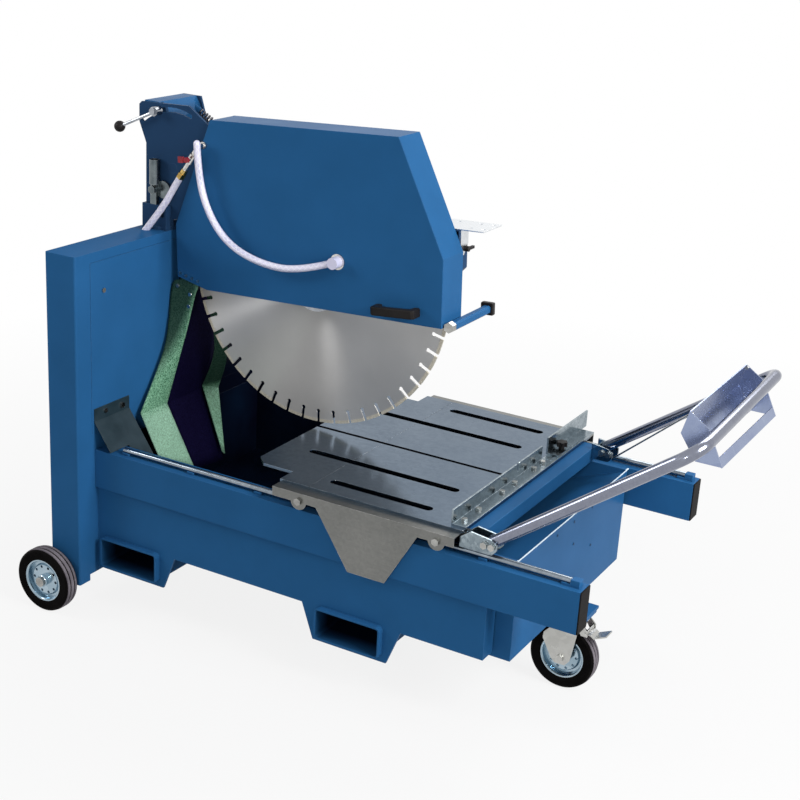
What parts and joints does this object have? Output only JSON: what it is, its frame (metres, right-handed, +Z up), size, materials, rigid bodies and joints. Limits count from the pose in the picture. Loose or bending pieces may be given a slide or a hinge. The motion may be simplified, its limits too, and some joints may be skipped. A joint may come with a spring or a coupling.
{
  "type": "wet stone saw",
  "caption": "Wet stone saw: tilting head with a guarded diamond blade over a rolling slotted table, water tub and wheeled frame with fork pockets.",
  "frame": {"origin": "on the floor under the middle of the saw's bounding box", "axes": "+X from the post towards the operator's handle, +Y across to the motor side, +Z up"},
  "size_m": [2.039, 1.216, 1.4997],
  "materials": {
    "blue_paint": "satin enamel",
    "zinc_sheet": "galvanised",
    "blade_steel": "ground",
    "bright_steel": "machined",
    "bolt_steel": "zinc plated",
    "tyre_black": "solid rubber",
    "rim_zinc": "zinc plated pressing",
    "dark_sheet": "dark grey, wet",
    "spring_steel": "oiled",
    "black_plastic": "moulded",
    "red_lever": "dipped",
    "valve_brass": "nickel worn",
    "hose_clear": "milky",
    "curtain_green": "mottled",
    "curtain_navy": "matt",
    "belt_rubber": "fabric backed",
    "motor_iron": "grey paint"
  },
  "bodies": {
    "frame": {"side_beams": "blue_paint", "beam_end_caps": "black_plastic", "guide_rails": "bright_steel", "skid_plates": "blue_paint", "fork_pockets": "blue_paint", "water_tub": "blue_paint", "post_column": "blue_paint", "post_cover": "blue_paint", "splash_deflector": "dark_sheet", "water_pump": "black_plastic", "frame_bolts": "bolt_steel", "tower": "blue_paint", "tower_roof": "blue_paint", "lift_socket": "bright_steel", "caster_mount": "blue_paint", "supply_hose": "hose_clear"},
    "near_wheel": {"near_tyre": "tyre_black", "near_rim": "rim_zinc"},
    "far_wheel": {"far_tyre": "tyre_black", "far_rim": "rim_zinc"},
    "caster": {"caster_fork": "bright_steel"},
    "caster_wheel": {"caster_tyre": "tyre_black", "caster_rim": "rim_zinc"},
    "brake": {"brake_pedal": "bright_steel"},
    "head": {"guard_shell": "blue_paint", "guard_cover": "blue_paint", "head_arm": "blue_paint", "spindle_bearings": "bright_steel", "belt_box": "blue_paint", "motor": "motor_iron", "drive_belt": "belt_rubber", "switch_box": "blue_paint", "control_plate": "zinc_sheet", "front_bar": "blue_paint", "black_grips": "black_plastic", "head_bolts": "bolt_steel", "water_valve": "valve_brass", "feed_hose": "hose_clear", "buffer_spring": "spring_steel", "side_curtains": "curtain_green", "back_curtain": "curtain_navy"},
    "clamp": {"clamp_lever": "bright_steel", "clamp_knob": "black_plastic"},
    "valve": {"valve_lever": "red_lever"},
    "switch": {"switch_lever": "black_plastic"},
    "blade": {"saw_blade": "blade_steel", "spindle": "bright_steel"},
    "motor_rotor": {"motor_pulley": "bright_steel"},
    "table": {"table_plates": "zinc_sheet", "table_channels": "zinc_sheet", "cross_tube": "blue_paint", "fence": "zinc_sheet", "handle_brackets": "zinc_sheet", "handle_bail": "zinc_sheet", "hand_guard": "zinc_sheet", "table_bolts": "bolt_steel"},
    "stop": {"stop_angle": "zinc_sheet"},
    "knob": {"star_knob": "black_plastic"},
    "front_roller_pair": {"front_rollers": "bright_steel"},
    "rear_roller_pair": {"rear_rollers": "bright_steel"}
  },
  "joints": [
    {"name": "table_slide", "type": "slide", "parent": "frame", "child": "table", "axis": [1, 0, 0], "range_m": [-0.45, 0.25]},
    {"name": "head_tilt", "type": "hinge", "parent": "frame", "child": "head", "pos_m": [-0.822, 0, 1.3], "axis": [0, -1, 0], "range_deg": [-3, 12], "deforming": ["buffer_spring", "supply_hose", "side_curtains", "back_curtain"]},
    {"name": "blade_spin", "type": "hinge", "parent": "head", "child": "blade", "pos_m": [-0.33994, -0.02, 1.02485], "axis": [0, 1, 0], "continuous": true},
    {"name": "motor_spin", "type": "hinge", "parent": "head", "child": "motor_rotor", "pos_m": [-0.25806, 0.083, 1.23943], "axis": [0, 1, 0], "continuous": true},
    {"name": "clamp_turn", "type": "hinge", "parent": "head", "child": "clamp", "pos_m": [-0.87402, -0.1, 1.46499], "axis": [0, 1, 0], "range_deg": [-25, 70]},
    {"name": "valve_turn", "type": "hinge", "parent": "head", "child": "valve", "pos_m": [-0.72922, -0.15, 1.34492], "axis": [0, 1, 0], "range_deg": [0, 90]},
    {"name": "switch_turn", "type": "hinge", "parent": "head", "child": "switch", "pos_m": [0.10052, 0.05, 1.18613], "axis": [0.9986, 0, 0.0523], "range_deg": [-40, 40]},
    {"name": "near_wheel_spin", "type": "hinge", "parent": "frame", "child": "near_wheel", "pos_m": [-0.917, -0.572, 0.1], "axis": [0, 1, 0], "continuous": true},
    {"name": "far_wheel_spin", "type": "hinge", "parent": "frame", "child": "far_wheel", "pos_m": [-0.917, 0.572, 0.1], "axis": [0, 1, 0], "continuous": true},
    {"name": "caster_swivel", "type": "hinge", "parent": "frame", "child": "caster", "pos_m": [0.595, -0.07, 0.22], "axis": [0, 0, 1], "continuous": true},
    {"name": "caster_spin", "type": "hinge", "parent": "caster", "child": "caster_wheel", "pos_m": [0.573, -0.07, 0.1], "axis": [0, 1, 0], "continuous": true},
    {"name": "brake_press", "type": "hinge", "parent": "caster", "child": "brake", "pos_m": [0.64, -0.07, 0.197], "axis": [0, 1, 0], "range_deg": [0, 8]},
    {"name": "stop_slide", "type": "slide", "parent": "table", "child": "stop", "axis": [0, 1, 0], "range_m": [-0.035, 0.06]},
    {"name": "knob_turn", "type": "hinge", "parent": "stop", "child": "knob", "pos_m": [0.372, 0.252, 0.585], "axis": [0, 0, 1], "range_deg": [-180, 180]},
    {"name": "front_roller_spin", "type": "hinge", "parent": "table", "child": "front_roller_pair", "pos_m": [0.336, 0, 0.5383], "axis": [0, 1, 0], "continuous": true},
    {"name": "rear_roller_spin", "type": "hinge", "parent": "table", "child": "rear_roller_pair", "pos_m": [-0.094, 0, 0.5383], "axis": [0, 1, 0], "continuous": true}
  ],
  "couplings": [
    {"joint": "motor_spin", "follows": "blade_spin", "ratio": 1.3333},
    {"joint": "front_roller_spin", "follows": "table_slide", "rad_per_m": 97.087},
    {"joint": "rear_roller_spin", "follows": "table_slide", "rad_per_m": 97.087}
  ]
}
